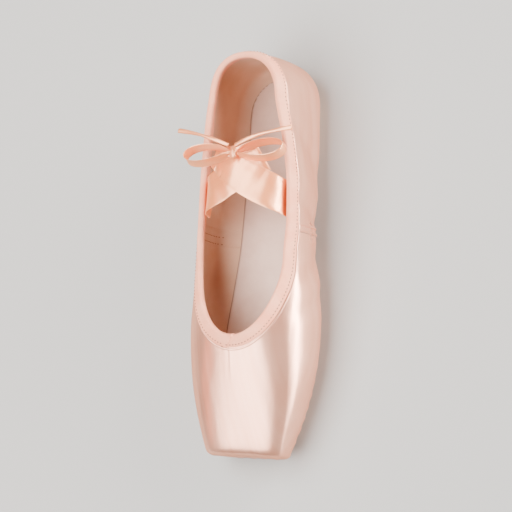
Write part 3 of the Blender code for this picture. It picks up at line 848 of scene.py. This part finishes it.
bpy.context.view_layer.update()
rows = []
for side in (-1.0, 1.0):
    for along in SIDE_ROWS:
        starts = [(0.0, SEAM_Y + along, height) for height in SIDE_STITCHES]
        rows.append(ray_row(upper, starts, [(side, 0.0, 0.0)] * len(starts)))
for across in BACK_ROWS:
    starts = [(across, 0.080, height) for height in BACK_STITCHES]
    rows.append(ray_row(upper, starts, [(0.0, 1.0, 0.0)] * len(starts)))
places = np.vstack([row + facing * STITCH_LIFT for row, facing in rows])
runs = np.vstack([np.gradient(row, axis=0) for row, facing in rows])
normals = np.vstack([facing for row, facing in rows])
lining_thread = thread_and_shadow_finish("lining_thread", LINING_THREAD, 0.7)
sewn_row("lining_stitches", places, runs, normals, LINING_STITCH, lining_thread)


# The casing is a matte cotton tape, folded over the collar's edge all round and stitched
# through along its lower edge, with its ends lapped at the front of the throat.
CASING = (0.82, 0.30, 0.17, 1)
CASING_PALE = (0.86, 0.36, 0.22, 1)
# The stitches' dark colour is partly the thread's own and partly painted shade of their needle
# holes and shadows.
CASING_THREAD_AND_SHADE = (0.24, 0.09, 0.05, 1)
STITCH_PITCH = 0.0022
STITCH_INSET = 0.0019
CASING_STITCH = (0.00110, 0.00075, 0.00075)
FOLD_ANGLE = math.radians(50)
LOOP_LEAST = 60
FINENESS = 12
LAP_Y = -0.0545
LAP_SLANT = 0.55
LAP_RISE = 0.00034
LAP_GROOVE = 0.00020
NUB_X, NUB_Y = 0.0012, -0.0512
NUB_RISE = 0.0007
PUCKER = 0.00004


def edge_loops(source, angle):
    """Closed lines along a CAD node's sharp edges, each as points in order."""
    work = bmesh.new()
    work.from_mesh(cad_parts[source].data)
    bmesh.ops.remove_doubles(work, verts=work.verts, dist=1e-6)
    links = {}
    for edge in work.edges:
        if len(edge.link_faces) == 2 and edge.calc_face_angle() > angle:
            a, b = edge.verts
            links.setdefault(a, []).append(b)
            links.setdefault(b, []).append(a)
    loops = []
    seen = set()
    for start in links:
        if start in seen or len(links[start]) != 2:
            continue
        line, previous, here = [start], None, start
        while True:
            seen.add(here)
            onward = [v for v in links[here] if v is not previous]
            if not onward or len(links[here]) != 2:
                break
            previous, here = here, onward[0]
            if here is start:
                break
            line.append(here)
        loops.append(np.array([tuple(v.co) for v in line]))
    work.free()
    return [line for line in loops if len(line) > LOOP_LEAST]


def even_line(line, pitch):
    """Even points along the smooth closed line through a loop's points."""
    wrapped = np.vstack([line[-2:], line, line[:3]])
    fine = smooth_route(wrapped, (len(line) + 4) * FINENESS + 1)[2 * FINENESS : -2 * FINENESS]
    lengths = run_length(fine)
    count = int(round(lengths[-1] / pitch))
    samples = np.arange(count) * lengths[-1] / count
    return np.stack([np.interp(samples, lengths, fine[:, k]) for k in range(3)], 1)


def along_edge(line):
    """The run, the satin's normal and the way up to the fold at each point of the tape's edge."""
    runs = unit(np.roll(line, -1, axis=0) - np.roll(line, 1, axis=0))
    normals = unit(np.array([upper.closest_point_on_mesh(tuple(point))[2] for point in line]))
    ups = unit(np.cross(normals, runs))
    above = np.full(len(line), 0.07)
    middle = np.stack([np.zeros(len(line)), np.clip(line[:, 1], -0.03, 0.09), above], 1)
    ups *= np.sign(np.sum(ups * (middle - line), axis=1, keepdims=True))
    return runs, normals, ups


def shape_casing(piece):
    """Laps the tape's ends at the throat, with a nub where the drawstring is tied inside."""
    middles, facing = face_arrays(piece)
    refine(piece, (middles[:, 1] < -0.040) & (np.abs(middles[:, 0]) < 0.007), 2)
    points, normals = mesh_arrays(piece)
    x, y, z = points.T
    front = y < -0.040
    past = x + 0.0004 - LAP_SLANT * (y - LAP_Y)
    lap = LAP_RISE * fade(-past, -0.0001, 0.0003) * fade(past, -0.011, -0.0006)
    groove = -LAP_GROOVE * bump_line(past - 0.0004, 0.00035)
    nub = NUB_RISE * bump_line(x - NUB_X, 0.0009) * bump_line(y - NUB_Y, 0.0010)
    move = np.where(front & (normals[:, 2] > -0.2), lap + groove + nub, 0)
    pucker = PUCKER * np.sin(y * 1700 + x * 900) * np.sin(x * 1300 - y * 500 + 0.8)
    move += np.where(normals[:, 2] > -0.5, pucker, 0)
    set_points(piece, points + normals * move[:, None])


def casing_finish():
    """The tape: matte cotton, a little downy, puckered by its seam."""
    material, tree, shader = finish(
        "casing_tape", Roughness=0.68, Sheen_Weight=0.12, Sheen_Roughness=0.45,
        Specular_IOR_Level=0.35)
    shader.inputs["Sheen Tint"].default_value = (1.0, 0.86, 0.8, 1)
    place = node(tree, "ShaderNodeTexCoord").outputs["Object"]
    cloud = node(tree, "ShaderNodeTexNoise", {"Vector": place, "Scale": 90.0, "Detail": 4.0})
    colour = ramp(tree, cloud.outputs["Fac"], ((0.35, CASING), (0.65, CASING_PALE)))
    tree.links.new(colour, shader.inputs["Base Color"])
    ribs = node(tree, "ShaderNodeTexVoronoi", {"Vector": place, "Scale": 2600.0})
    bump = node(tree, "ShaderNodeBump", {
        "Height": ribs.outputs["Distance"], "Strength": 0.35, "Distance": 0.0001})
    pucker = node(tree, "ShaderNodeTexNoise", {"Vector": place, "Scale": 260.0, "Detail": 2.0})
    soft = node(tree, "ShaderNodeBump", {
        "Height": pucker.outputs["Fac"], "Strength": 0.4, "Distance": 0.0003,
        "Normal": bump.outputs[0]})
    tree.links.new(soft.outputs[0], shader.inputs["Normal"])
    return material


casing_tape = casing_finish()
casing = smooth_copy("collar_binding", "collar_casing", 3)
shape_casing(casing)
casing.data.materials.append(casing_tape)
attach(casing, "root")
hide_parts("collar_binding")
bpy.context.view_layer.update()
loops = edge_loops("collar_binding", FOLD_ANGLE)
lower_edge = max(loops, key=lambda loop: run_length(loop)[-1])

line = even_line(lower_edge, STITCH_PITCH)
runs, normals, ups = along_edge(line)
places, facing = [], []
for point in line + ups * STITCH_INSET + normals * 0.001:
    _, place, normal, _ = casing.closest_point_on_mesh(tuple(point))
    places.append(np.array(place))
    facing.append(np.array(normal))
# These stitches carry painted shade as well as thread colour: they are darkened for their needle
# holes and shadows.
casing_thread_and_shade = thread_and_shadow_finish("casing_thread_and_shade", CASING_THREAD_AND_SHADE, 0.6)
sewn_row("casing_stitches", places, runs, facing, CASING_STITCH, casing_thread_and_shade)


# The satin rolls up in a thin ridge all along the casing's lower edge, where the stitches
# that hold the casing pull on it.
ROLL_WIDTH = 0.0013
ROLL_HEIGHT = 0.0009
ROLL_OFFSET = 0.00085
ROLL_PITCH = 0.0009

line = even_line(lower_edge, ROLL_PITCH)
runs, normals, ups = along_edge(line)
beside = line - ups * ROLL_OFFSET
bases = np.array([upper.closest_point_on_mesh(tuple(point))[1] for point in beside])
for _ in range(3):
    bases = (np.roll(bases, 1, axis=0) + 2 * bases + np.roll(bases, -1, axis=0)) / 4
welt("satin_roll", bases, ups, normals, ROLL_WIDTH, ROLL_HEIGHT, satin, closed=True)


# The sock is a thin greyish pink leather board that lies on the seat from toe to heel,
# glued down, darkened near its edge by painted shade where it meets the upper.
SOCK = (0.53, 0.34, 0.26, 1)
SOCK_PALE = (0.62, 0.42, 0.33, 1)
SOCK_EDGE_SHADE = (0.22, 0.12, 0.08, 1)
SOCK_EDGE_SHADE_WIDTH = (0.0016, 0.0004)
SOCK_SLICES = 120


def leather_finish(name, dark, pale, roughness, scale):
    """Matte leather with a cloudy colour and a fine grain, and its shader."""
    material, tree, shader = finish(
        name, Roughness=roughness, Specular_IOR_Level=0.35, Sheen_Weight=0.1)
    place = node(tree, "ShaderNodeTexCoord").outputs["Object"]
    cloud = node(tree, "ShaderNodeTexNoise", {
        "Vector": place, "Scale": scale, "Detail": 5.0, "Roughness": 0.6})
    colour = ramp(tree, cloud.outputs["Fac"], ((0.36, dark), (0.66, pale)))
    tree.links.new(colour, shader.inputs["Base Color"])
    grain = node(tree, "ShaderNodeTexVoronoi", {"Vector": place, "Scale": 1500.0})
    bump = node(tree, "ShaderNodeBump", {
        "Height": grain.outputs["Distance"], "Strength": 0.25, "Distance": 0.0001})
    tree.links.new(bump.outputs[0], shader.inputs["Normal"])
    return material, tree, shader


sock = smooth_copy("insole", "sock", 2)
sock_leather, sock_tree, sock_shader = leather_finish("sock_leather", SOCK, SOCK_PALE, 0.62, 40.0)
sock.data.materials.append(sock_leather)
x, y, z = mesh_arrays(sock)[0].T
slices = np.clip(((y + 0.12) / 0.24 * SOCK_SLICES).astype(int), 0, SOCK_SLICES - 1)
half_widths = np.zeros(SOCK_SLICES)
np.maximum.at(half_widths, slices, np.abs(x))
# Painted shade: the colour darkens toward the sock's edge, over its last 1.6 mm.
from_edge = half_widths[slices] - np.abs(x)
shade = sock.data.attributes.new("painted_edge_shade", "FLOAT", "POINT")
shade.data.foreach_set("value", fade(-from_edge, -SOCK_EDGE_SHADE_WIDTH[0], -SOCK_EDGE_SHADE_WIDTH[1]))
edge = node(sock_tree, "ShaderNodeAttribute", attribute_name="painted_edge_shade")
darker = node(sock_tree, "ShaderNodeMix", {
    "Factor": edge.outputs["Fac"], "A": sock_shader.inputs["Base Color"].links[0].from_socket,
    "B": SOCK_EDGE_SHADE}, data_type="RGBA")
sock_tree.links.new(darker.outputs["Result"], sock_shader.inputs["Base Color"])
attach(sock, "root")
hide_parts("insole")


# The outsole is a narrow strip of undyed leather, its edge skived thin, glued and sewn
# over the pleated margin.
SOLE = (0.48, 0.33, 0.22, 1)
SOLE_PALE = (0.62, 0.46, 0.33, 1)
outsole = smooth_copy("outsole", "outsole_leather", 2)
outsole.data.materials.append(leather_finish("outsole_leather", SOLE, SOLE_PALE, 0.72, 26.0)[0])
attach(outsole, "root")
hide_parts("outsole")


# A plain pale paper floor, lit by five soft lights: a broad key from the left over the
# throat, a fill and a long strip on the right that draw bands down the satin, a faint warm
# strip low on the left, and a fill over the heel.
FLOOR_COLOUR = (0.42, 0.415, 0.40, 1)
FLOOR_GLOW = (1.0, 0.985, 0.96, 1)
GLOW_FROM, GLOW_TO, GLOW_STRENGTH = 0.55, 2.2, 0.80
ROOM_COLOUR = (0.95, 0.95, 0.94, 1)
ROOM_LIGHT, ROOM_SEEN = 0.12, 1.0

# Each light's place to the right, up the picture and toward the camera, its width, height
# and power, and its colour
LIGHTS = {
    "key": (-0.72, 0.02, 0.77, 0.96, 1.6, 56.0, (1.0, 0.985, 0.97)),
    "fill_right": (1.0, 0.25, 0.62, 0.5, 1.0, 12.0, (1.0, 0.92, 0.86)),
    "strip_right": (0.93, 0.05, 0.49, 0.20, 1.3, 58.0, (1.0, 0.985, 0.975)),
    "strip_left": (-0.80, -0.05, 0.05, 0.16, 0.7, 0.9, (1.0, 0.26, 0.07)),
    "fill_heel": (0.72, 0.95, 0.78, 0.5, 0.5, 20.0, (1.0, 0.96, 0.93)),
}

bpy.ops.object.select_all(action="DESELECT")
bpy.ops.mesh.primitive_plane_add(size=60.0, location=(0, 0, -0.0003))
floor = bpy.context.object
floor.name = "floor"
floor_paper, floor_tree, floor_shader = finish(
    "floor_paper", Roughness=0.9, Specular_IOR_Level=0.0)
floor_shader.inputs["Base Color"].default_value = FLOOR_COLOUR
floor_place = node(floor_tree, "ShaderNodeTexCoord").outputs["Object"]
away = node(floor_tree, "ShaderNodeVectorMath", {0: floor_place}, operation="LENGTH")
glow = node(floor_tree, "ShaderNodeMapRange", {
    "Value": away.outputs["Value"], "From Min": GLOW_FROM, "From Max": GLOW_TO,
    "To Max": GLOW_STRENGTH})
floor_shader.inputs["Emission Color"].default_value = FLOOR_GLOW
floor_tree.links.new(glow.outputs[0], floor_shader.inputs["Emission Strength"])
floor.data.materials.append(floor_paper)

world = bpy.data.worlds.new("room")
bpy.context.scene.world = world
world.use_nodes = True
room = world.node_tree
background = room.nodes["Background"]
background.inputs["Color"].default_value = ROOM_COLOUR
seen = node(room, "ShaderNodeLightPath").outputs["Is Camera Ray"]
strength = node(room, "ShaderNodeMapRange", {
    "Value": seen, "To Min": ROOM_LIGHT, "To Max": ROOM_SEEN})
room.links.new(strength.outputs[0], background.inputs["Strength"])

for name, (right, up, front, width, height, power, colour) in LIGHTS.items():
    lamp_data = bpy.data.lights.new(name, "AREA")
    lamp_data.shape = "RECTANGLE"
    lamp_data.size, lamp_data.size_y = width, height
    lamp_data.energy = power
    lamp_data.color = colour
    lamp = bpy.data.objects.new(name, lamp_data)
    lamp.visible_camera = False
    offset = rightward * right + upward * up + back * front
    away = unit(offset)
    side = unit(np.cross(upward, away))
    lamp.matrix_world = turned(side, np.cross(away, side), away, TARGET + offset)
    bpy.context.scene.collection.objects.link(lamp)
